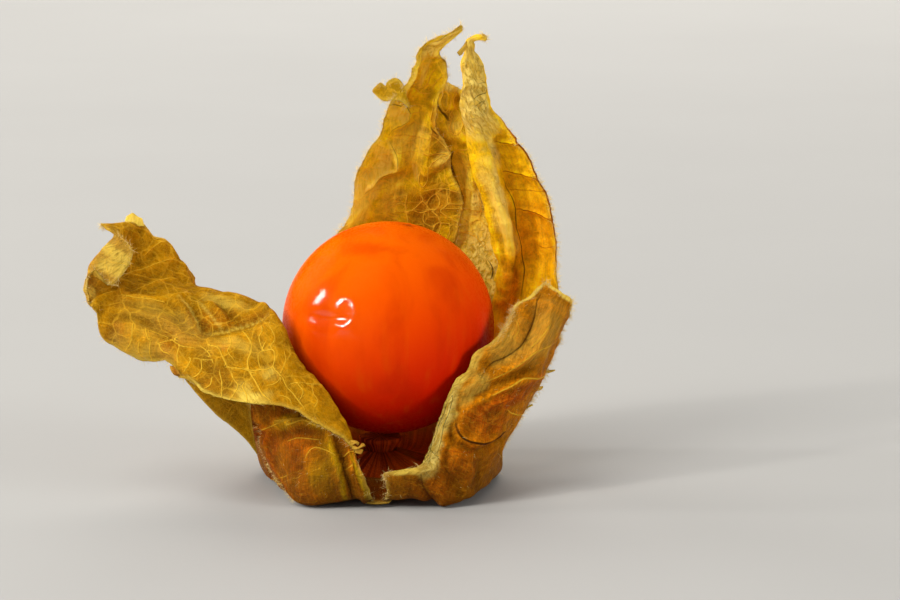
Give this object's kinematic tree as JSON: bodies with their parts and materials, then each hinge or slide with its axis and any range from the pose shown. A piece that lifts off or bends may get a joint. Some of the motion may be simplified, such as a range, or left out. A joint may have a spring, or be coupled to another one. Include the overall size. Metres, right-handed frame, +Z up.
{
  "type": "physalis berry",
  "caption": "Ripe round cape gooseberry seated on a short cut stem inside its dry papery husk, whose veined lobes have split and opened around it.",
  "frame": {"origin": "centre of the stem's flat cut end, on the level that the husk's five corners stand on", "axes": "+Z up along the stem towards the berry; -Y towards the side where the husk is split down to the ground; +X to the right as seen from that side"},
  "size_m": [0.0416, 0.0232, 0.0388],
  "materials": {
    "husk": "dry, papery, veined",
    "berry": "waxy gloss skin",
    "stem": "dry, ribbed"
  },
  "bodies": {
    "root": {"husk": "husk", "berry": "berry", "stem": "stem"}
  },
  "joints": []
}
